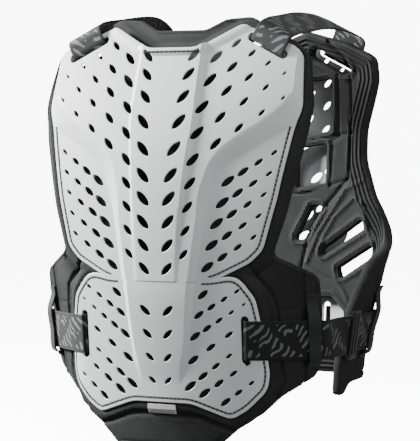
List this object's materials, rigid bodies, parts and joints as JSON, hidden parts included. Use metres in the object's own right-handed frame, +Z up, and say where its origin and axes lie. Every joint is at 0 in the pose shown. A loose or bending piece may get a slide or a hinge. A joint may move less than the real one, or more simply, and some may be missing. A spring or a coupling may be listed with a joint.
{
  "type": "roost deflector",
  "caption": "Sleeveless body protector: two moulded plates pierced with lens slots on each of two padded liners, joined by shoulder webbing and buckled side webbing.",
  "frame": {"origin": "midway between the undersides of the two shoulder straps at their highest station, where they lie on the wearer's shoulders", "axes": "+X to one side, the panel shown in the picture at -Y, +Z up along the wearer's body"},
  "size_m": [0.3956, 0.2891, 0.5098],
  "materials": {
    "moulded_plate": "satin white moulded polymer with black stitch grooves",
    "liner_foam": "black moulded foam with a fine knit face",
    "webbing": "black woven elastic webbing with a grey woven pattern",
    "keeper_webbing": "plain black webbing",
    "buckle": "black moulded plastic",
    "label": "plain light grey woven tape"
  },
  "bodies": {
    "root": {"front_upper_plate": "moulded_plate", "front_lower_plate": "moulded_plate", "back_upper_plate": "moulded_plate", "back_lower_plate": "moulded_plate", "front_liner": "liner_foam", "back_liner": "liner_foam", "shoulder_strap_left": "webbing", "shoulder_strap_right": "webbing", "side_strap_front_left": "webbing", "side_strap_front_right": "webbing", "side_strap_back_left": "webbing", "side_strap_back_right": "webbing", "keeper_front_left": "keeper_webbing", "keeper_front_right": "keeper_webbing", "keeper_back_left": "keeper_webbing", "keeper_back_right": "keeper_webbing", "side_buckle_left": "buckle", "side_buckle_right": "buckle", "label_tag": "label"}
  },
  "joints": []
}
